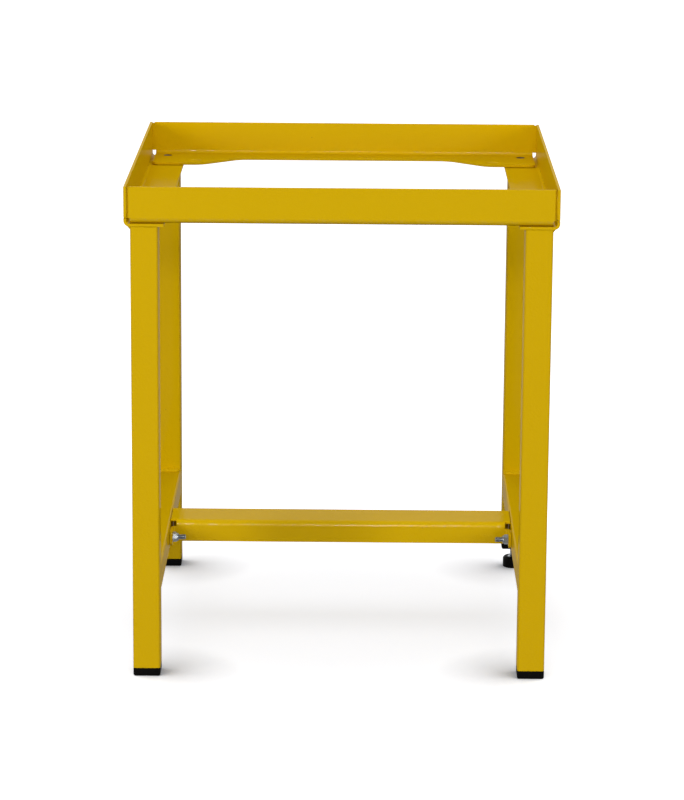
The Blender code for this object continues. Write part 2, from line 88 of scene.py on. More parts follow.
def fold(bm, pivot, run, axis, belongs):
    """Wind the flat sheet past a bend line round that line, through a right angle.

    The bend is marked where its coat glints, most of all near the start of the bend.
    """
    pivot, run = Vector(pivot), Vector(run)
    mark = bm.verts.layers.float.get("bend") or bm.verts.layers.float.new("bend")
    for step in range(bend_steps + 1):
        faces = [face for face in bm.faces if all(belongs(vert.co) for vert in face.verts)]
        cut_along(bm, faces, pivot + run * (bend_run * step / bend_steps), run)
    for vert in bm.verts:
        past = (vert.co - pivot).dot(run)
        if past > 0 and belongs(vert.co):
            wound = min(past, bend_run)
            way = wound / bend_run
            if past < bend_run - slack:
                vert[mark] = glint_rise * way * (1 - way) ** glint_fall
            turn = Matrix.Rotation(math.pi / 2 * way, 3, axis)
            vert.co = pivot + turn @ (vert.co - pivot - run * wound)


def everywhere(place):
    """A fold that takes the whole width of the sheet."""
    return True


def worked_out(tree, operation, first, second):
    """A value worked out by nodes from two others, each of them a socket or a number."""
    node = tree.nodes.new("ShaderNodeMath")
    node.operation = operation
    for socket, given in zip(node.inputs, (first, second)):
        if isinstance(given, float):
            socket.default_value = given
        else:
            tree.links.new(given, socket)
    return node.outputs[0]


def fine_relief_group():
    """Soft bumps, a slow change of tone and scattered nibs, for a sprayed or moulded finish."""
    group = bpy.data.node_groups.new("fine_relief", 'ShaderNodeTree')
    for name, default in (("Bump size", 0.0017), ("Tone size", 0.06), ("Nib spacing", 0.03)):
        socket = group.interface.new_socket(name, in_out='INPUT', socket_type='NodeSocketFloat')
        socket.default_value = default
    for name in ("Height", "Tone", "Nib"):
        group.interface.new_socket(name, in_out='OUTPUT', socket_type='NodeSocketFloat')
    nodes, links = group.nodes, group.links
    given = nodes.new("NodeGroupInput")
    result = nodes.new("NodeGroupOutput")
    place = nodes.new("ShaderNodeTexCoord")
    skin = nodes.new("ShaderNodeTexNoise")
    skin.inputs["Detail"].default_value = 1.0
    skin.inputs["Roughness"].default_value = 0.35
    links.new(place.outputs["Object"], skin.inputs["Vector"])
    links.new(worked_out(group, 'DIVIDE', 1.0, given.outputs["Bump size"]), skin.inputs["Scale"])
    links.new(skin.outputs["Fac"], result.inputs["Height"])
    tone = nodes.new("ShaderNodeTexNoise")
    tone.inputs["Detail"].default_value = 2.0
    links.new(place.outputs["Object"], tone.inputs["Vector"])
    links.new(worked_out(group, 'DIVIDE', 1.0, given.outputs["Tone size"]), tone.inputs["Scale"])
    links.new(tone.outputs["Fac"], result.inputs["Tone"])
    cells = nodes.new("ShaderNodeTexVoronoi")
    links.new(place.outputs["Object"], cells.inputs["Vector"])
    links.new(worked_out(group, 'DIVIDE', 1.0, given.outputs["Nib spacing"]), cells.inputs["Scale"])
    near = nodes.new("ShaderNodeMapRange")
    near.interpolation_type = 'SMOOTHSTEP'
    near.inputs["From Min"].default_value = 0.022
    near.inputs["From Max"].default_value = 0.008
    links.new(cells.outputs["Distance"], near.inputs["Value"])
    links.new(near.outputs["Result"], result.inputs["Nib"])
    return group


fine_relief = fine_relief_group()


def relief_finish(name, sizes, colours, nib_colour, roughness, bump_depth):
    """A material whose colour, roughness and bumps follow the fine relief. Gives it and its shader."""
    material = bpy.data.materials.new(name)
    material.use_nodes = True
    nodes, links = material.node_tree.nodes, material.node_tree.links
    shader = nodes["Principled BSDF"]
    relief = nodes.new("ShaderNodeGroup")
    relief.node_tree = fine_relief
    for socket, size in zip(("Bump size", "Tone size", "Nib spacing"), sizes):
        relief.inputs[socket].default_value = size
    tone = nodes.new("ShaderNodeMix")
    tone.data_type = 'RGBA'
    tone.inputs["A"].default_value = (*colours[0], 1.0)
    tone.inputs["B"].default_value = (*colours[1], 1.0)
    links.new(relief.outputs["Tone"], tone.inputs["Factor"])
    nibs = nodes.new("ShaderNodeMix")
    nibs.data_type = 'RGBA'
    nibs.inputs["B"].default_value = (*nib_colour, 1.0)
    links.new(relief.outputs["Nib"], nibs.inputs["Factor"])
    links.new(tone.outputs["Result"], nibs.inputs["A"])
    links.new(nibs.outputs["Result"], shader.inputs["Base Color"])
    gloss = nodes.new("ShaderNodeMapRange")
    gloss.inputs["From Min"].default_value = 0.3
    gloss.inputs["From Max"].default_value = 0.7
    gloss.inputs["To Min"].default_value = roughness[0]
    gloss.inputs["To Max"].default_value = roughness[1]
    links.new(relief.outputs["Tone"], gloss.inputs["Value"])
    links.new(gloss.outputs["Result"], shader.inputs["Roughness"])
    bump = nodes.new("ShaderNodeBump")
    bump.inputs["Strength"].default_value = 1.0
    bump.inputs["Distance"].default_value = bump_depth
    links.new(relief.outputs["Height"], bump.inputs["Height"])
    links.new(bump.outputs["Normal"], shader.inputs["Normal"])
    return material, shader


def coat_finish(name):
    """The yellow powder coat. Gives it and its shader."""
    material, shader = relief_finish(name, sizes=(0.0024, 0.09, 0.04), colours=coat_colours,
                                     nib_colour=coat_nib, roughness=(0.40, 0.50), bump_depth=0.00025)
    shader.inputs["Specular IOR Level"].default_value = 0.0
    shader.inputs["Coat Weight"].default_value = coat_gloss
    shader.inputs["Coat IOR"].default_value = 1.4
    shader.inputs["Coat Roughness"].default_value = 0.06
    return material, shader


def add_bend_sparkle(material, shader):
    """Let the coat's orange peel break up what it mirrors, into small dots of glint along the bends."""
    tree = material.node_tree
    nodes, links = tree.nodes, tree.links
    place = nodes.new("ShaderNodeTexCoord")
    peel = nodes.new("ShaderNodeTexNoise")
    peel.inputs["Scale"].default_value = 1 / peel_size
    peel.inputs["Detail"].default_value = 0.0
    links.new(place.outputs["Object"], peel.inputs["Vector"])
    dots = nodes.new("ShaderNodeMapRange")
    dots.interpolation_type = 'SMOOTHSTEP'
    dots.inputs["From Min"].default_value = 0.47
    dots.inputs["From Max"].default_value = 0.62
    links.new(peel.outputs["Fac"], dots.inputs["Value"])
    bend = nodes.new("ShaderNodeAttribute")
    bend.attribute_name = "bend"
    gloss = nodes.new("ShaderNodeMapRange")
    gloss.inputs["To Min"].default_value = coat_gloss
    gloss.inputs["To Max"].default_value = bend_gloss
    bent_dots = worked_out(tree, 'MULTIPLY', dots.outputs["Result"], bend.outputs["Fac"])
    links.new(bent_dots, gloss.inputs["Value"])
    links.new(gloss.outputs["Result"], shader.inputs["Coat Weight"])
    waves = nodes.new("ShaderNodeBump")
    waves.inputs["Distance"].default_value = peel_depth
    links.new(peel.outputs["Fac"], waves.inputs["Height"])
    links.new(waves.outputs["Normal"], shader.inputs["Coat Normal"])


folded_coat, folded_shader = coat_finish("yellow_powder_coat_folded")
add_bend_sparkle(folded_coat, folded_shader)


def finished_piece(name, bm, material, slot, body, *nodes):
    """A finished piece with smooth curves and flat flats, which rides on a body and stands for CAD nodes."""
    if not any(edge.is_boundary for edge in bm.edges):
        bmesh.ops.recalc_face_normals(bm, faces=bm.faces)
    for edge in bm.edges:
        edge.smooth = edge.calc_face_angle(0.0) < sharp_angle
    mesh = bpy.data.meshes.new(name)
    bm.to_mesh(mesh)
    bm.free()
    mesh.shade_smooth()
    mesh.materials.append(material)
    obj = bpy.data.objects.new(name, mesh)
    bpy.context.scene.collection.objects.link(obj)
    flats = obj.modifiers.new("flat_flats", 'WEIGHTED_NORMAL')
    flats.keep_sharp = True
    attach(obj, body)
    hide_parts(*nodes)
    return obj


def side_rail():
    """The left side rail, in its place. A slit at each end shows where its weld stops."""
    length = side_high.y - side_low.y
    flange = side_high.x - side_low.x
    flat = side_high.z - side_low.z - bend_outside + bend_run + flange - bend_outside
    bm = bmesh.new()
    bmesh.ops.create_cube(bm, size=1.0)
    bmesh.ops.scale(bm, verts=bm.verts, vec=(sheet, length, flat))
    bmesh.ops.translate(bm, verts=bm.verts, vec=(side_low.x + sheet / 2, 0, side_high.z - flat / 2))
    round_sharp_edges(bm, sheared_edge)
    weld_stop = front_low.z + relief_height
    for lift in (-slit_half, slit_ramp - slit_half, slit_half - slit_ramp, slit_half):
        cut_along(bm, bm.faces[:], (0, 0, weld_stop + lift), (0, 0, 1))
    for vert in bm.verts:
        in_slit = abs(vert.co.z - weld_stop) < slit_half - slit_ramp / 2
        if in_slit and abs(vert.co.y) > length / 2 - 2 * sheared_edge:
            vert.co.y -= math.copysign(slit_depth, vert.co.y)
    bend_line = (side_low.x + bend_outside, 0, side_low.z + bend_outside)
    fold(bm, bend_line, (0, 0, -1), (0, -1, 0), everywhere)
    return bm


half_turn = Matrix.Rotation(math.pi, 3, 'Z')
finished_piece("side_rail_left", side_rail(), folded_coat, "powder_coat", "frame", "left_side_rail")
right_rail = side_rail()
bmesh.ops.rotate(right_rail, verts=right_rail.verts, cent=(0, 0, 0), matrix=half_turn)
finished_piece("side_rail_right", right_rail, folded_coat, "powder_coat", "frame", "right_side_rail")

# End rails: the front and rear walls of the tray. Each is cut from 3 mm sheet with gusset ends and folded
# once, so that the gussets lie on the side rails. A tapped hole in each gusset takes a fixing through the
# chest's base, and a shallow round dent is pressed into it further in.
end_flange = 0.037
gusset_depth = front_high.y - front_low.y
gusset_length = 0.062
gusset_run = 0.045
gusset_fillet = 0.025
gusset_corner = 0.006
gusset_steps = 10
relief_width = 0.004
seam_width = 0.0022
corner_hole = 0.011
corner_hole_inset = 0.0225
corner_hole_patch = 0.008
hole_steps = 32
tap_depth = 0.0004
tap_steps = 7
dent_inset = (0.058, 0.061)
dent_patch = (0.0105, 0.0095)
dent_radius = 0.0088
dent_wall = 0.0028
dent_depth = 0.0012
dent_rings = 5


def opened_patch(bm, place, half_width, half_height):
    """Cut a rectangular patch out of a flat blank in the XZ plane. Gives the edges of the opening."""
    x, z = place
    for edge in (x - half_width, x + half_width):
        cut_along(bm, bm.faces[:], (edge, 0, 0), (1, 0, 0))
    for edge in (z - half_height, z + half_height):
        cut_along(bm, bm.faces[:], (0, 0, edge), (0, 0, 1))
    patch = min(bm.faces, key=lambda face: (face.calc_center_median() - Vector((x, 0, z))).length)
    rim = patch.edges[:]
    bmesh.ops.delete(bm, geom=[patch], context='FACES_ONLY')
    split = bmesh.ops.subdivide_edges(bm, edges=rim, cuts=hole_steps // 4 - 1)
    edges = dict.fromkeys(item for item in split["geom"] if isinstance(item, bmesh.types.BMEdge))
    return [edge for edge in edges if edge.is_boundary
            and abs(edge.verts[0].co.x - x) < half_width + 10 * slack
            and abs(edge.verts[0].co.z - z) < half_height + 10 * slack]


def shrunk_rim(bm, rim, place, radius):
    """Grow the blank inwards from the edges of an opening to a circle. Gives the circle's edges."""
    centre = Vector((place[0], 0, place[1]))
    grown = bmesh.ops.extrude_edge_only(bm, edges=rim)["geom"]
    for item in grown:
        if isinstance(item, bmesh.types.BMVert):
            item.co = centre + (item.co - centre).normalized() * radius
    return [item for item in grown if isinstance(item, bmesh.types.BMEdge) and item.is_boundary]


def end_rail():
    """The front rail, in its place."""
    half = front_high.x - seam_width
    flange_half = -side_low.x - sheet - relief_width
    bend_top = front_low.z + bend_outside
    bend_bottom = bend_top - bend_run
    gusset_end = bend_bottom - (gusset_depth - bend_outside)
    flange_end = bend_bottom - (end_flange - bend_outside)
    slope_start = front_high.x - gusset_length
    slope_end = slope_start - gusset_run
    notch = front_low.z + relief_height
    right_side = [(half, front_high.z, 0), (half, notch, 0), (flange_half, notch, 0),
                  (flange_half, gusset_end, gusset_corner), (slope_start, gusset_end, gusset_fillet),
                  (slope_end, flange_end, gusset_fillet)]
    outline = right_side + [(-x, z, radius) for x, z, radius in reversed(right_side)]
    bm = bmesh.new()
    verts = [bm.verts.new((x, 0, z)) for x, z, radius in outline]
    bm.faces.new(verts)
    slope = math.atan2(gusset_depth - end_flange, gusset_run)
    fillet_reach = gusset_fillet * math.tan(slope / 2)
    for radius, reach in ((gusset_corner, gusset_corner), (gusset_fillet, fillet_reach)):
        rounded = [vert for vert, corner in zip(verts, outline) if corner[2] == radius]
        bmesh.ops.bevel(bm, geom=rounded, offset=reach, segments=gusset_steps, profile=0.5,
                        affect='VERTICES', material=-1)

    for side in (-1, 1):
        hole = (side * (-side_low.x - corner_hole_inset),
                bend_bottom - (corner_hole_inset - bend_outside))
        rim = opened_patch(bm, hole, corner_hole_patch, corner_hole_patch)
        shrunk_rim(bm, rim, hole, corner_hole / 2)
        dent = (side * (-side_low.x - dent_inset[0]), bend_bottom - (dent_inset[1] - bend_outside))
        rim = opened_patch(bm, dent, *dent_patch)
        for ring in range(dent_rings + 1):
            rim = shrunk_rim(bm, rim, dent, dent_radius - dent_wall * ring / dent_rings)
        bmesh.ops.edgeloop_fill(bm, edges=rim)
    bmesh.ops.recalc_face_normals(bm, faces=bm.faces)
    bmesh.ops.solidify(bm, geom=bm.faces[:], thickness=sheet)
    bmesh.ops.recalc_face_normals(bm, faces=bm.faces)
    lowest = min(vert.co.y for vert in bm.verts if vert.co.z > bend_top)
    bmesh.ops.translate(bm, verts=bm.verts, vec=(0, front_low.y - lowest, 0))
    round_sharp_edges(bm, sheared_edge)
    for vert in bm.verts:
        reach = math.hypot(abs(vert.co.x) - abs(dent[0]), vert.co.z - dent[1])
        inside = min(max((dent_radius - reach) / dent_wall, 0.0), 1.0)
        vert.co.y -= dent_depth * (1 - math.cos(math.pi * inside)) / 2
    fold(bm, (0, front_low.y + bend_outside, bend_top), (0, 0, -1), (1, 0, 0), everywhere)
    return bm


def tapped_holes():
    """Bare steel threads of the corner holes, tapped after coating, darkened to paint the holes' shade."""
    across = -side_low.x - corner_hole_inset
    back = -front_low.y - corner_hole_inset
    profile = [(corner_hole / 2 - (tap_depth if step % 2 else 0.0), front_low.z + sheet * step / tap_steps)
               for step in range(tap_steps + 1)]
    bm = bmesh.new()
    for side in (-1, 1):
        for end in (-1, 1):
            centre = Vector((side * across, end * back, 0))
            verts = [bm.verts.new(centre + Vector((radius, 0, height))) for radius, height in profile]
            edges = [bm.edges.new(pair) for pair in zip(verts, verts[1:])]
            bmesh.ops.spin(bm, geom=verts + edges, cent=centre, axis=(0, 0, 1), angle=-2 * math.pi,
                           steps=hole_steps, use_merge=True)
    bmesh.ops.remove_doubles(bm, verts=bm.verts, dist=slack)
    return bm


# The threads' steel is darker than bare steel, because it also paints the shade inside the tapped holes.
bare_steel_and_hole_shade, steel_shader = relief_finish(
    "bare_steel_and_hole_shade", sizes=(0.0005, 0.004, 0.004), colours=((0.16, 0.15, 0.14), (0.30, 0.28, 0.26)),
    nib_colour=(0.10, 0.09, 0.08), roughness=(0.30, 0.45), bump_depth=0.00001)
steel_shader.inputs["Metallic"].default_value = 1.0
finished_piece("tapped_hole_threads", tapped_holes(), bare_steel_and_hole_shade, "zinc_steel", "frame")
finished_piece("end_rail_front", end_rail(), folded_coat, "powder_coat", "frame", "front_rail")
rear_rail = end_rail()
bmesh.ops.rotate(rear_rail, verts=rear_rail.verts, cent=(0, 0, 0), matrix=half_turn)
finished_piece("end_rail_rear", rear_rail, folded_coat, "powder_coat", "frame", "rear_rail")

# Corner seams of the tray: the end rails butt against the side rails, and an upright weld fills each seam. It
# is ground back and stops short of both ends, so that a thin slit stays open above and below it.
powder_coat = coat_finish("yellow_powder_coat")[0]
bead_sides = 8
bead_step = 0.0004
ripple_length = 0.0021
ripple_height = 0.05
ripple_drift = 2.0
ripple_drift_rate = 37.0
bead_end_power = 12
bead_tip = 0.001
ground_bulge = -0.2
seam_shift = 0.0002
seam_overlap = 0.0006
seam_below_top = 0.0008
seam_root = 0.0008
seam_root_inset = 0.0026
seam_bead_inset = 0.0024
seam_bead_sunk = 0.0001
seam_bead_proud = 0.0012
seam_bead_lift = 0.004
seam_bead_drop = 0.006


def weld_bead(bm, start, end, first_leg, second_leg, bulge):
    """A weld in the corner between two faces, from start to end, with ripples and tapered ends."""
    start, run = Vector(start), Vector(end) - Vector(start)
    first_leg, second_leg = Vector(first_leg), Vector(second_leg)
    section = [Vector((0, 0, 0))]
    for step in range(bead_sides + 1):
        share = step / bead_sides
        chord = first_leg.lerp(second_leg, share)
        arc = first_leg * math.cos(share * math.pi / 2) + second_leg * math.sin(share * math.pi / 2)
        section.append(chord.lerp(arc, bulge))
    base = bm.faces.new([bm.verts.new(start + point) for point in section])
    grown = bmesh.ops.extrude_face_region(bm, geom=[base], use_keep_orig=True)["geom"]
    far = [item for item in grown if isinstance(item, bmesh.types.BMVert)]
    bmesh.ops.translate(bm, verts=far, vec=run)
    lengthwise = [edge for vert in far for edge in vert.link_edges if edge.other_vert(vert) not in far]
    bmesh.ops.subdivide_edges(bm, edges=lengthwise, cuts=round(run.length / bead_step))
    bead = [vert for vert in bm.verts if not vert.tag]
    for vert in bead:
        along = min(max((vert.co - start).dot(run) / run.length_squared, 0.0), 1.0)
        drift = ripple_drift * math.sin(ripple_drift_rate * along)
        ripple = math.sin(2 * math.pi * along * run.length / ripple_length + drift)
        ends = (1.0 - (2.0 * along - 1.0) ** bead_end_power) ** 0.5
        axis = start + run * along
        vert.co = axis + (vert.co - axis) * (ends * (1.0 + ripple_height * ripple) + bead_tip)
        vert.tag = True


seams = bmesh.new()
for side in (-1, 1):
    for end in (-1, 1):
        wall_x = side * (-side_low.x - sheet)
        wall_y = end * -front_low.y
        seam_x = wall_x - side * (seam_width / 2 + seam_shift)
        root_y = wall_y - end * seam_root_inset
        root_low = front_low.z + relief_height
        root_high = side_high.z - seam_below_top
        root = bmesh.ops.create_cube(seams, size=1.0)["verts"]
        bmesh.ops.scale(seams, verts=root, vec=(seam_width + seam_overlap, seam_root, root_high - root_low))
        bmesh.ops.translate(seams, verts=root, vec=(seam_x, root_y, (root_low + root_high) / 2))
        for vert in root:
            vert.tag = True
        bead_x = wall_x + side * seam_bead_sunk
        bead_y = wall_y - end * seam_bead_inset
        weld_bead(seams, (bead_x, bead_y, root_low + seam_bead_lift),
                  (bead_x, bead_y, root_high - seam_bead_drop),
                  (-side * (seam_width + seam_overlap), 0, 0), (0, end * seam_bead_proud, 0), ground_bulge)
finished_piece("tray_corner_welds", seams, powder_coat, "powder_coat", "frame")

# Legs: four lengths of 30 mm square steel tube, sawn to length and welded up to the side rails' flanges. The
# rear right leg is shorter, to make room for the levelling foot.
tube_wall = 0.0015
tube_corner = 0.0025
tube_corner_steps = 6
sawn_edge = 0.00025


def square_tube(low, high, along):
    """A square tube with rounded corners between two corners of a box, open at both ends along an axis."""
    low, high = Vector(low), Vector(high)
    bm = bmesh.new()
    bmesh.ops.create_cube(bm, size=1.0)
    bmesh.ops.scale(bm, verts=bm.verts, vec=high - low)
    bmesh.ops.translate(bm, verts=bm.verts, vec=(low + high) / 2)
    ends = [face for face in bm.faces if abs(face.normal[along]) > 0.5]
    bmesh.ops.delete(bm, geom=ends, context='FACES_ONLY')
    corners = [edge for edge in bm.edges
               if abs(edge.verts[0].co[along] - edge.verts[1].co[along]) > tube_corner]
    bmesh.ops.bevel(bm, geom=corners, offset=tube_corner, segments=tube_corner_steps, profile=0.5,
                    affect='EDGES', material=-1)
    bmesh.ops.solidify(bm, geom=bm.faces[:], thickness=tube_wall)
    bmesh.ops.recalc_face_normals(bm, faces=bm.faces)
    round_sharp_edges(bm, sawn_edge)
    return bm


leg_corners = ("front_left", "front_right", "rear_left", "rear_right")
for corner in leg_corners:
    leg = square_tube(*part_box(corner + "_leg"), 2)
    finished_piece("leg_" + corner, leg, powder_coat, "powder_coat", "frame", corner + "_leg")

# Welds of the legs: a fillet along the outer and the inner side of each leg, up in the corner under the side
# rail's flange, ground little and coated over.
bead_root = 0.0003
bead_inset = 0.002
outer_fillet = (0.0037, 0.0042)
inner_fillet = (0.0022, 0.0026)
left_bulge = 0.05
right_bulge = -0.3
leg_welds = bmesh.new()
for corner in leg_corners:
    low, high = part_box(corner + "_leg")
    outward = math.copysign(1.0, low.x)
    if outward < 0:
        outer, inner, outer_bulge = low.x, high.x, left_bulge
    else:
        outer, inner, outer_bulge = high.x, low.x, right_bulge
    flange_under = high.z + bead_root
    for face, away, (across, down), bulge in ((outer, outward, outer_fillet, outer_bulge),
                                              (inner, -outward, inner_fillet, ground_bulge)):
        root = face - away * bead_root
        weld_bead(leg_welds, (root, low.y + bead_inset, flange_under),
                  (root, high.y - bead_inset, flange_under), (away * across, 0, 0), (0, 0, -down), bulge)
finished_piece("leg_welds", leg_welds, powder_coat, "powder_coat", "frame")

# Stretchers: two lengths of the same tube, level with each other, welded between the front and rear legs on
# each side, with a bead along their upper and lower edges.
stretcher_fillet = (0.0036, 0.0034)
stretcher_bead_sunk = 0.0002
stretcher_bulge = 0.5
stretcher_welds = bmesh.new()
for side in ("left", "right"):
    low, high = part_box(side + "_stretcher")
    finished_piece("stretcher_" + side, square_tube(low, high, 1), powder_coat, "powder_coat", "frame",
                   side + "_stretcher")
    for end, inwards in ((low.y, 1.0), (high.y, -1.0)):
        root_y = end - inwards * bead_root
        for height, up in ((high.z, 1.0), (low.z, -1.0)):
            root_z = height - up * stretcher_bead_sunk
            weld_bead(stretcher_welds, (low.x + bead_inset, root_y, root_z),
                      (high.x - bead_inset, root_y, root_z),
                      (0, inwards * stretcher_fillet[0], 0), (0, 0, up * stretcher_fillet[1]),
                      stretcher_bulge)
finished_piece("stretcher_welds", stretcher_welds, powder_coat, "powder_coat", "frame")

# Cross rail: a channel folded from 3 mm sheet, open below, with a tab bent forward at each end of its front.
# It drops between the stretchers and is bolted to them through its tabs, so that the stand can be taken down.
cross_low, cross_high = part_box("cross_rail")
cross_depth = 0.060
cross_relief = 0.0045
tab_corner = 0.004
tab_corner_steps = 8


def cross_rail():
    """The cross rail, in its place: first the flat blank, then its back, its top and the two tabs."""
    web_front = cross_high.y - cross_depth
    end = cross_high.x
    web_half = end - bend_outside
    web_top = cross_high.z - bend_outside
    tab_top = cross_high.z - sheet - cross_relief
    back_bend = web_top + bend_run + cross_depth - 2 * bend_outside
    back_flat = back_bend + bend_run + web_top - cross_low.z
    tab_flat = web_half + bend_run + (web_front + sheet - cross_low.y) - bend_outside
    right_side = [(end, back_flat), (end, web_top + bend_run), (web_half, web_top + bend_run),
                  (web_half, tab_top), (tab_flat, tab_top), (tab_flat, cross_low.z)]
    outline = right_side + [(-x, z) for x, z in reversed(right_side)]
    bm = bmesh.new()
    verts = [bm.verts.new((x, web_front, z)) for x, z in outline]
    bm.faces.new(verts)
    tips = [vert for vert in verts if abs(vert.co.x) > end + slack]
    bmesh.ops.bevel(bm, geom=tips, offset=tab_corner, segments=tab_corner_steps, profile=0.5,
                    affect='VERTICES', material=-1)
    bmesh.ops.recalc_face_normals(bm, faces=bm.faces)
    bmesh.ops.solidify(bm, geom=bm.faces[:], thickness=sheet)
    bmesh.ops.recalc_face_normals(bm, faces=bm.faces)
    bmesh.ops.translate(bm, verts=bm.verts, vec=(0, web_front - min(vert.co.y for vert in bm.verts), 0))
    round_sharp_edges(bm, sheared_edge)
    split = (tab_top + web_top) / 2
    cut_along(bm, bm.faces[:], (0, 0, split), (0, 0, 1))
    cut_along(bm, bm.faces[:], (0, 0, 0), (1, 0, 0))
    for bend_start in (back_bend, web_top):
        fold(bm, (0, web_front + bend_outside, bend_start), (0, 0, 1), (-1, 0, 0),
             lambda place: place.z > split - slack)
    for side in (-1, 1):
        fold(bm, (side * web_half, web_front - bend_inside, 0), (side, 0, 0), (0, 0, -side),
             lambda place: (place.z < split + slack and place.x * side > -slack
                            and place.y < web_front + 2 * sheet))
    return bm


finished_piece("cross_rail_folded", cross_rail(), folded_coat, "powder_coat", "frame", "cross_rail")

# Bolts and lock nuts: an M6 hexagon bolt goes through each stretcher from outside and through the cross
# rail's tab, and a lock nut holds it inside. Both are bright zinc plated, with rolled threads.
zinc, zinc_shader = relief_finish(
    "zinc_plate", sizes=(0.0006, 0.006, 0.004), colours=((0.26, 0.29, 0.32), (0.42, 0.45, 0.48)),
    nib_colour=(0.17, 0.18, 0.19), roughness=(0.20, 0.34), bump_depth=0.000008)
zinc_shader.inputs["Metallic"].default_value = 1.0
bolt_low, bolt_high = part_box("left_bolt")
nut_low, nut_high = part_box("left_nut")
bolt_diameter = 0.006
bolt_head = 0.004
bolt_pitch = 0.001
bolt_plain = 0.030
bolt_tip = 0.0008
shank_overlap = 0.0005
shank_sides = 32
hexagon_across = nut_high.z - nut_low.z
hexagon_cuts = 7
hexagon_crown = 0.96
hexagon_chamfer = 0.577
head_face = 0.93
nut_hexagon = 0.0049
collar_foot = 0.00455
collar_rim = ((0.00450, 0.0006), (0.00435, 0.0002), (0.00405, 0.0), (0.00370, 0.0001), (0.00345, 0.0004))
nut_twist = {"left": math.radians(8), "right": math.radians(34)}
thread_depth = 0.61
turn_steps = 24


def raised(bm, face, radius, height):
    """Extrude a face to a height. With a radius, its outline there is a circle."""
    grown = bmesh.ops.extrude_face_region(bm, geom=[face, *face.edges])["geom"]
    top = [item for item in grown if isinstance(item, bmesh.types.BMFace)][0]
    for vert in top.verts:
        vert.co.z = height
        if radius is not None:
            vert.co.xy = vert.co.xy.normalized() * radius
    return top


def hexagon_blank(bm, across, height):
    """An upright hexagon on the XY plane, its corners turned down at the top. Gives its round top face."""
    bmesh.ops.create_circle(bm, cap_ends=True, segments=6, radius=across / math.sqrt(3))
    bmesh.ops.subdivide_edges(bm, edges=bm.edges[:], cuts=hexagon_cuts)
    top = raised(bm, next(iter(bm.faces)), None, height)
    crown = across / 2 * hexagon_crown
    for vert in top.verts:
        vert.co.z -= (vert.co.xy.length - crown) * hexagon_chamfer
    return raised(bm, top, crown, height)


def rolled_thread(bm, diameter, pitch, start, end, tip):
    """A threaded rod up the Z axis, turned down at its tip."""
    core = diameter / 2 - thread_depth * pitch
    crest = diameter / 2
    profile = [(core, 0.0), (crest, 0.40), (crest, 0.55), (core, 0.95), (core, 1.0)]
    verts = [bm.verts.new((radius, 0, start - pitch * (1 - rise))) for radius, rise in profile]
    edges = [bm.edges.new(pair) for pair in zip(verts, verts[1:])]
    turns = math.ceil((end - start) / pitch) + 2
    bmesh.ops.spin(bm, geom=verts + edges, cent=(0, 0, 0), axis=(0, 0, 1), angle=2 * math.pi * turns,
                   steps=turn_steps * turns, dvec=(0, 0, pitch / turn_steps))
    bmesh.ops.remove_doubles(bm, verts=bm.verts, dist=slack)
    for height, facing in ((start, -1), (end, 1)):
        bmesh.ops.bisect_plane(bm, geom=bm.verts[:] + bm.edges[:] + bm.faces[:], plane_co=(0, 0, height),
                               plane_no=(0, 0, facing), clear_outer=True)
    bmesh.ops.holes_fill(bm, edges=[edge for edge in bm.edges if edge.is_boundary])
    bmesh.ops.recalc_face_normals(bm, faces=bm.faces)
    for vert in bm.verts:
        widest = crest - max(0.0, vert.co.z - (end - tip))
        if vert.co.xy.length > widest:
            vert.co.xy = vert.co.xy.normalized() * widest


def take_in(bm, other):
    """Add a second mesh to a first one."""
    mesh = bpy.data.meshes.new("taken_in")
    other.to_mesh(mesh)
    other.free()
    bm.from_mesh(mesh)
    bpy.data.meshes.remove(mesh)


def bolt():
    """A hexagon bolt up the Z axis, with its head under the XY plane."""
    length = bolt_high.x - bolt_low.x - bolt_head
    bm = bmesh.new()
    rolled_thread(bm, bolt_diameter, bolt_pitch, bolt_plain, length, bolt_tip)
    head = bmesh.new()
    top = hexagon_blank(head, hexagon_across, bolt_head)
    raised(head, top, hexagon_across / 2 * head_face, bolt_head)
    bmesh.ops.rotate(head, verts=head.verts, cent=(0, 0, 0), matrix=Matrix.Rotation(math.pi, 3, 'X'))
    take_in(bm, head)
    bmesh.ops.create_cone(bm, cap_ends=True, segments=shank_sides, radius1=bolt_diameter / 2,
                          radius2=bolt_diameter / 2, depth=bolt_plain + 2 * shank_overlap,
                          matrix=Matrix.Translation((0, 0, bolt_plain / 2)))
    return bm


def lock_nut():
    """A lock nut up the Z axis, with the crimped collar that holds its plastic ring."""
    height = nut_high.x - nut_low.x
    bm = bmesh.new()
    top = hexagon_blank(bm, hexagon_across, nut_hexagon)
    top = raised(bm, top, collar_foot, nut_hexagon)
    for radius, below in collar_rim:
        top = raised(bm, top, radius, height - below)
    return bm


for side, sign in (("left", -1), ("right", 1)):
    low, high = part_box(side + "_bolt")
    seat = low.x + bolt_head if sign < 0 else high.x - bolt_head
    axis = Vector((0, (low.y + high.y) / 2, (low.z + high.z) / 2))
    turn = Matrix.Rotation(-sign * math.pi / 2, 4, 'Y')
    bolt_mesh = bolt()
    bolt_place = Matrix.Translation(axis + Vector((seat, 0, 0))) @ turn
    bmesh.ops.transform(bolt_mesh, verts=bolt_mesh.verts, matrix=bolt_place)
    finished_piece("hexagon_bolt_" + side, bolt_mesh, zinc, "zinc_steel", "frame", side + "_bolt")
    low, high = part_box(side + "_nut")
    seat = low.x if sign < 0 else high.x
    nut_mesh = lock_nut()
    twist = Matrix.Rotation(nut_twist[side], 4, 'Z')
    nut_place = Matrix.Translation(axis + Vector((seat, 0, 0))) @ turn @ twist
    bmesh.ops.transform(nut_mesh, verts=nut_mesh.verts, matrix=nut_place)
    finished_piece("lock_nut_" + side, nut_mesh, zinc, "zinc_steel", "frame", side + "_nut")

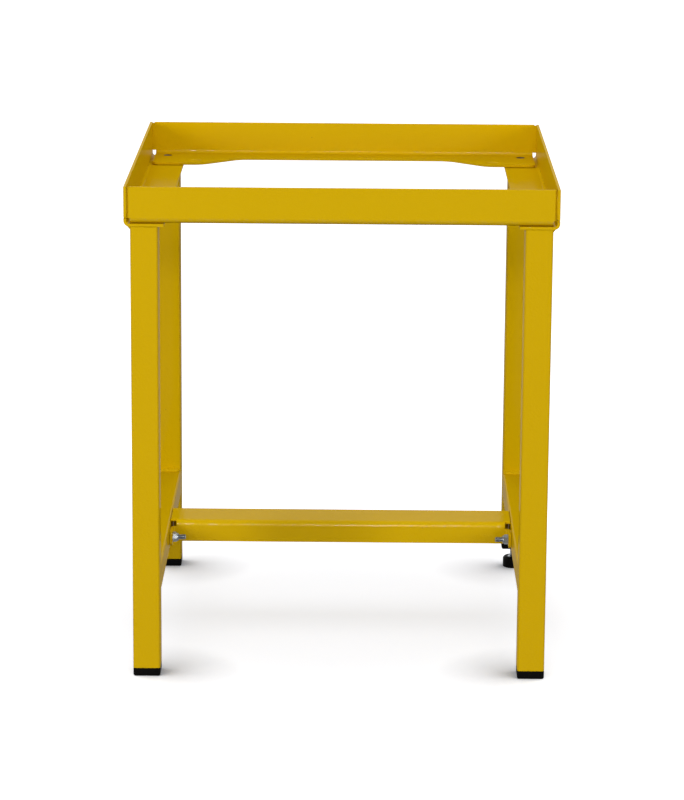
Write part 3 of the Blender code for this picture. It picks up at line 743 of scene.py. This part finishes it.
# End caps: moulded black plastic plugs, pressed into the feet of three legs. Only the square sole shows, and
# ribbed lips grip the inside of the tube.
black_plastic, plastic_shader = relief_finish(
    "black_plastic", sizes=(0.0005, 0.02, 0.01),
    colours=((0.0016, 0.0015, 0.0014), (0.0027, 0.0026, 0.0024)),
    nib_colour=(0.006, 0.006, 0.006), roughness=(0.38, 0.50), bump_depth=0.00002)
plastic_shader.inputs["Specular IOR Level"].default_value = 0.06
sole_height = 0.009
sole_round = 0.0022
sole_round_steps = 6
sole_edge = 0.0003
sole_edge_steps = 2
plug_half = 0.013
plug_core = 0.0114
plug_lips = 3
plug_lip_height = 0.003
plug_lip_slope = 0.002


def widened(bm, face, half, height):
    """Extrude a square face to a height, with a half width there."""
    grown = bmesh.ops.extrude_face_region(bm, geom=[face, *face.edges])["geom"]
    top = [item for item in grown if isinstance(item, bmesh.types.BMFace)][0]
    size = max(vert.co.x for vert in top.verts)
    for vert in top.verts:
        vert.co.xy *= half / size
        vert.co.z = height
    return top


def end_cap(low, high):
    """A cap with its plug, on the Z axis. Gives the mesh and the plug's top face."""
    half = (high.x - low.x) / 2
    bm = bmesh.new()
    bmesh.ops.create_cube(bm, size=1.0)
    bmesh.ops.scale(bm, verts=bm.verts, vec=(2 * half, 2 * half, sole_height))
    bmesh.ops.translate(bm, verts=bm.verts, vec=(0, 0, sole_height / 2))
    upright = [edge for edge in bm.edges if abs(edge.verts[0].co.z - edge.verts[1].co.z) > sole_height / 2]
    bmesh.ops.bevel(bm, geom=upright, offset=tube_corner, segments=tube_corner_steps, profile=0.5,
                    affect='EDGES', material=-1)
    lower = [edge for edge in bm.edges if edge.verts[0].co.z + edge.verts[1].co.z < slack]
    bmesh.ops.bevel(bm, geom=lower, offset=sole_round, segments=sole_round_steps, profile=0.5,
                    affect='EDGES', material=-1)
    upper = [edge for edge in bm.edges if edge.verts[0].co.z + edge.verts[1].co.z > 2 * sole_height - slack]
    bmesh.ops.bevel(bm, geom=upper, offset=sole_edge, segments=sole_edge_steps, profile=0.5,
                    affect='EDGES', material=-1)
    top = max(bm.faces, key=lambda face: (round(face.calc_center_median().z, 6), face.calc_area()))
    plug_top = high.z - low.z
    pitch = (plug_top - sole_height - plug_lip_height) / plug_lips
    top = widened(bm, top, plug_core, sole_height)
    for lip in reversed(range(plug_lips)):
        lip_top = plug_top - plug_lip_height / 2 - lip * pitch
        top = widened(bm, top, plug_core, lip_top - plug_lip_height)
        top = widened(bm, top, plug_half, lip_top - plug_lip_height)
        top = widened(bm, top, plug_half, lip_top - plug_lip_slope)
        top = widened(bm, top, plug_core, lip_top)
    return bm, widened(bm, top, plug_core, plug_top)


for corner in ("front_left", "front_right", "rear_left"):
    low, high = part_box(corner + "_foot")
    cap = end_cap(low, high)[0]
    bmesh.ops.translate(cap, verts=cap.verts, vec=((low.x + high.x) / 2, (low.y + high.y) / 2, low.z))
    finished_piece("end_cap_" + corner, cap, black_plastic, "black_plastic", "frame", corner + "_foot")

# Levelling foot: a plastic insert with a nut in it closes the rear right leg, and an M8 stud screws through
# it. The stud's flange is moulded into a round pad, which stays on the floor while the stud turns in it.
insert_low, insert_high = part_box("threaded_insert")
stud_low, stud_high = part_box("levelling_stud")
pad_low, pad_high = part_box("levelling_pad")
foot_axis = Vector(((pad_low.x + pad_high.x) / 2, (pad_low.y + pad_high.y) / 2, 0))
stud_diameter = 0.008
stud_pitch = 0.00125
stud_root = 0.001
stud_tip = 0.001
stud_flange = (stud_high.x - stud_low.x) / 2
stud_flange_round = 0.0006
stud_neck = 0.0008
stud_clearance = 0.0003
pad_radius = (pad_high.x - pad_low.x) / 2
pad_sole_round = 0.0008
pad_band = 0.004
pad_shoulder = 0.0035
pad_shoulder_steps = 10
pocket_round = 0.0003
pocket_round_steps = 3
spin_steps = 64


def spun(profile):
    """A profile of (radius, height) points, spun once round the Z axis."""
    bm = bmesh.new()
    verts = [bm.verts.new((radius, 0, height)) for radius, height in profile]
    edges = [bm.edges.new(pair) for pair in zip(verts, verts[1:])]
    bmesh.ops.spin(bm, geom=verts + edges, cent=(0, 0, 0), axis=(0, 0, 1), angle=2 * math.pi,
                   steps=spin_steps, use_merge=True)
    bmesh.ops.remove_doubles(bm, verts=bm.verts, dist=slack)
    bmesh.ops.recalc_face_normals(bm, faces=bm.faces)
    return bm


def rounded_corner(corner, start, end, steps=6):
    """Points of a quarter round that takes the place of a profile's corner, from start to end."""
    corner, start, end = Vector(corner), Vector(start), Vector(end)
    centre = start + end - corner
    return [tuple(centre + (start - centre) * math.cos(math.pi / 2 * step / steps)
                  + (end - centre) * math.sin(math.pi / 2 * step / steps)) for step in range(steps + 1)]


insert, insert_top = end_cap(insert_low, insert_high)
bore = stud_diameter / 2 + stud_clearance
insert_foot = min(insert.faces, key=lambda face: (round(face.calc_center_median().z, 6), -face.calc_area()))
mouths = []
for face in (insert_foot, insert_top):
    inner = bmesh.ops.extrude_face_region(insert, geom=[face, *face.edges])["geom"]
    mouth = [item for item in inner if isinstance(item, bmesh.types.BMFace)][0]
    around = sorted(mouth.verts, key=lambda vert: math.atan2(vert.co.y, vert.co.x))
    for step, vert in enumerate(around):
        angle = 2 * math.pi * (step + 0.5) / len(around) - math.pi
        vert.co.xy = (bore * math.cos(angle), bore * math.sin(angle))
    mouths.append(mouth)
for item in bmesh.ops.extrude_edge_only(insert, edges=mouths[1].edges[:])["geom"]:
    if isinstance(item, bmesh.types.BMVert):
        item.co.z = mouths[0].verts[0].co.z
bmesh.ops.delete(insert, geom=mouths, context='FACES_ONLY')
bmesh.ops.remove_doubles(insert, verts=insert.verts, dist=slack)
bmesh.ops.translate(insert, verts=insert.verts, vec=(foot_axis.x, foot_axis.y, insert_low.z))
finished_piece("insert_rear_right", insert, black_plastic, "black_plastic", "frame", "threaded_insert")
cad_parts["insert_nut"].data.materials.clear()
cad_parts["insert_nut"].data.materials.append(zinc)

stud = bmesh.new()
rolled_thread(stud, stud_diameter, stud_pitch, pad_high.z - stud_root, stud_high.z, stud_tip)
flange_top = pad_high.z
neck_top = flange_top + stud_neck
take_in(stud, spun([(0, stud_low.z), (stud_flange, stud_low.z),
                    *rounded_corner((stud_flange, flange_top), (stud_flange, flange_top - stud_flange_round),
                                    (stud_flange - stud_flange_round, flange_top)),
                    (stud_diameter / 2 + stud_neck, flange_top), (stud_diameter / 2, neck_top),
                    (0, neck_top)]))
bmesh.ops.translate(stud, verts=stud.verts, vec=foot_axis)
finished_piece("stud_threaded", stud, zinc, "zinc_steel", "stud", "levelling_stud")

pocket = stud_flange + stud_clearance
pocket_floor = stud_low.z - stud_clearance
pad = spun([(0, 0),
            *rounded_corner((pad_radius, 0), (pad_radius - pad_sole_round, 0), (pad_radius, pad_sole_round)),
            (pad_radius, pad_band),
            *rounded_corner((pad_radius, pad_high.z), (pad_radius, pad_high.z - pad_shoulder),
                            (pad_radius - pad_shoulder, pad_high.z), pad_shoulder_steps),
            *rounded_corner((pocket, pad_high.z), (pocket + pocket_round, pad_high.z),
                            (pocket, pad_high.z - pocket_round), pocket_round_steps),
            (pocket, pocket_floor), (0, pocket_floor)])
bmesh.ops.translate(pad, verts=pad.verts, vec=foot_axis)
finished_piece("pad_round", pad, black_plastic, "black_plastic", "pad", "levelling_pad")

# Floor: a plain white paper sweep under the stand. It shows the stand's soft shadow from the overhead softbox
# and the room. Next to each foot it also has a painted contact shadow, reaching inwards: an occlusion test
# that leans towards the middle darkens its glow there. Further out it is plain white.
floor_half = 40.0
painted_shadow_lean = (5.0, 2.5, 0.0)
painted_shadow_rise = (0.0, 0.0, 0.6)
painted_shadow_reach = 0.09
painted_shadow_strength = 2.4
mirrored_glow = 0.3
paper_hidden = (0.30, 0.30, 0.30, 1.0)
paper_seen = (0.70, 0.745, 0.85, 1.0)
floor_mesh = bmesh.new()
bmesh.ops.create_grid(floor_mesh, x_segments=1, y_segments=1, size=floor_half)
floor_data = bpy.data.meshes.new("floor")
floor_mesh.to_mesh(floor_data)
floor_mesh.free()
floor = bpy.data.objects.new("floor", floor_data)
bpy.context.scene.collection.objects.link(floor)


def either_ray(tree, *kinds):
    """A mask of the rays of these kinds."""
    rays = tree.nodes.new("ShaderNodeLightPath")
    mask = rays.outputs[kinds[0]]
    for kind in kinds[1:]:
        mask = worked_out(tree, 'MAXIMUM', mask, rays.outputs[kind])
    return mask


sweep = bpy.data.materials.new("white_sweep")
sweep.use_nodes = True
floor_data.materials.append(sweep)
tree = sweep.node_tree
tree.nodes.clear()
place = tree.nodes.new("ShaderNodeTexCoord")
reach = tree.nodes.new("ShaderNodeVectorMath")
reach.operation = 'LENGTH'
tree.links.new(place.outputs["Object"], reach.inputs[0])
lift = tree.nodes.new("ShaderNodeMapRange")
lift.interpolation_type = 'SMOOTHSTEP'
lift.inputs["From Min"].default_value = 0.15
lift.inputs["From Max"].default_value = 0.55
lift.inputs["To Min"].default_value = 0.65
lift.inputs["To Max"].default_value = 1.0
tree.links.new(reach.outputs["Value"], lift.inputs["Value"])
# Painted shadow: an ambient occlusion test, leaning inwards, darkens the floor's glow next to each foot.
lean = tree.nodes.new("ShaderNodeVectorMath")
lean.operation = 'MULTIPLY_ADD'
lean.inputs[1].default_value = painted_shadow_lean
lean.inputs[2].default_value = painted_shadow_rise
tree.links.new(place.outputs["Object"], lean.inputs[0])
painted_shadow_normal = tree.nodes.new("ShaderNodeVectorMath")
painted_shadow_normal.operation = 'NORMALIZE'
tree.links.new(lean.outputs["Vector"], painted_shadow_normal.inputs[0])
painted_shadow_test = tree.nodes.new("ShaderNodeAmbientOcclusion")
painted_shadow_test.samples = 4
painted_shadow_test.inputs["Distance"].default_value = painted_shadow_reach
tree.links.new(painted_shadow_normal.outputs["Vector"], painted_shadow_test.inputs["Normal"])
painted_contact_shadow = worked_out(tree, 'POWER', painted_shadow_test.outputs["AO"], painted_shadow_strength)
glow_with_painted_shadow = worked_out(tree, 'MULTIPLY', lift.outputs["Result"], painted_contact_shadow)
mirrored = worked_out(tree, 'MULTIPLY', either_ray(tree, "Is Glossy Ray"), mirrored_glow)
lit = worked_out(tree, 'MAXIMUM', either_ray(tree, "Is Camera Ray", "Is Transmission Ray"), mirrored)
paper = tree.nodes.new("ShaderNodeMix")
paper.data_type = 'RGBA'
paper.inputs["A"].default_value = paper_hidden
paper.inputs["B"].default_value = paper_seen
seen = either_ray(tree, "Is Camera Ray", "Is Glossy Ray", "Is Transmission Ray")
tree.links.new(seen, paper.inputs["Factor"])
white = tree.nodes.new("ShaderNodeBsdfDiffuse")
tree.links.new(paper.outputs["Result"], white.inputs["Color"])
glow = tree.nodes.new("ShaderNodeEmission")
tree.links.new(worked_out(tree, 'MULTIPLY', lit, glow_with_painted_shadow), glow.inputs["Strength"])
both = tree.nodes.new("ShaderNodeAddShader")
tree.links.new(white.outputs[0], both.inputs[0])
tree.links.new(glow.outputs[0], both.inputs[1])
surface = tree.nodes.new("ShaderNodeOutputMaterial")
tree.links.new(both.outputs[0], surface.inputs["Surface"])

# Studio: softboxes on the left, on the right, behind the camera and behind the stand light the stand alone.
# A broad one overhead lights the floor as well. The room is warm and dim on the camera's side, and white
# behind the stand.
stand_middle = Vector((0, 0, 0.35))
room_colour = (0.355, 0.33, 0.30, 1.0)
backdrop_colour = (1.0, 1.0, 1.0, 1.0)
off_the_floor = bpy.data.collections.new("off_the_floor")
off_the_floor.objects.link(floor)
off_the_floor.collection_objects[0].light_linking.link_state = 'EXCLUDE'


def softbox(name, place, width, height, power, lights, glints):
    """A rectangular soft light that faces the stand."""
    lamp = bpy.data.lights.new(name, 'AREA')
    lamp.shape = 'RECTANGLE'
    lamp.size = width
    lamp.size_y = height
    lamp.energy = power
    box = bpy.data.objects.new(name, lamp)
    box.location = place
    box.rotation_euler = (stand_middle - Vector(place)).to_track_quat('-Z', 'Y').to_euler()
    box.visible_glossy = glints
    bpy.context.scene.collection.objects.link(box)
    box.light_linking.receiver_collection = lights


softbox("softbox_left", (-2.1, -2.4, 1.05), 1.0, 1.0, 45.0, off_the_floor, True)
softbox("softbox_right", (2.4, -2.0, 1.10), 1.0, 1.0, 32.0, off_the_floor, True)
softbox("softbox_front", (0, -5.3, 2.10), 1.3, 0.35, 66.0, off_the_floor, True)
softbox("softbox_back", (0, 3.0, 2.40), 1.2, 1.2, 28.0, off_the_floor, False)
softbox("softbox_top", (-0.2, 0.2, 2.20), 2.4, 2.4, 12.5, None, False)

world = bpy.data.worlds.new("studio")
bpy.context.scene.world = world
world.use_nodes = True
tree = world.node_tree
tree.nodes.clear()
way = tree.nodes.new("ShaderNodeTexCoord")
axes = tree.nodes.new("ShaderNodeSeparateXYZ")
tree.links.new(way.outputs["Generated"], axes.inputs["Vector"])
backdrop = tree.nodes.new("ShaderNodeMapRange")
backdrop.interpolation_type = 'SMOOTHSTEP'
backdrop.inputs["From Min"].default_value = -0.2
backdrop.inputs["From Max"].default_value = 0.3
tree.links.new(axes.outputs["Y"], backdrop.inputs["Value"])
mirrored = worked_out(tree, 'MULTIPLY', either_ray(tree, "Is Glossy Ray"), backdrop.outputs["Result"])
seen = worked_out(tree, 'MAXIMUM', either_ray(tree, "Is Camera Ray", "Is Transmission Ray"), mirrored)
walls = tree.nodes.new("ShaderNodeMix")
walls.data_type = 'RGBA'
walls.inputs["A"].default_value = room_colour
walls.inputs["B"].default_value = backdrop_colour
tree.links.new(seen, walls.inputs["Factor"])
room = tree.nodes.new("ShaderNodeBackground")
tree.links.new(walls.outputs["Result"], room.inputs["Color"])
sky = tree.nodes.new("ShaderNodeOutputWorld")
tree.links.new(room.outputs[0], sky.inputs["Surface"])

# Camera: a long lens on a stand about 3.8 m in front, at the height of a photographer's chest, which looks
# down at the middle of the stand.
lens = bpy.data.cameras.new("camera")
lens.sensor_fit = 'VERTICAL'
lens.sensor_height = 36.0
lens.lens = 150.71
camera = bpy.data.objects.new("camera", lens)
camera.location = (0.01876, -3.78356, 1.15441)
camera.rotation_euler = (math.radians(76.7203), math.radians(-0.3906), math.radians(0.3688))
bpy.context.scene.collection.objects.link(camera)
bpy.context.scene.camera = camera
bpy.context.scene.view_settings.view_transform = 'Standard'
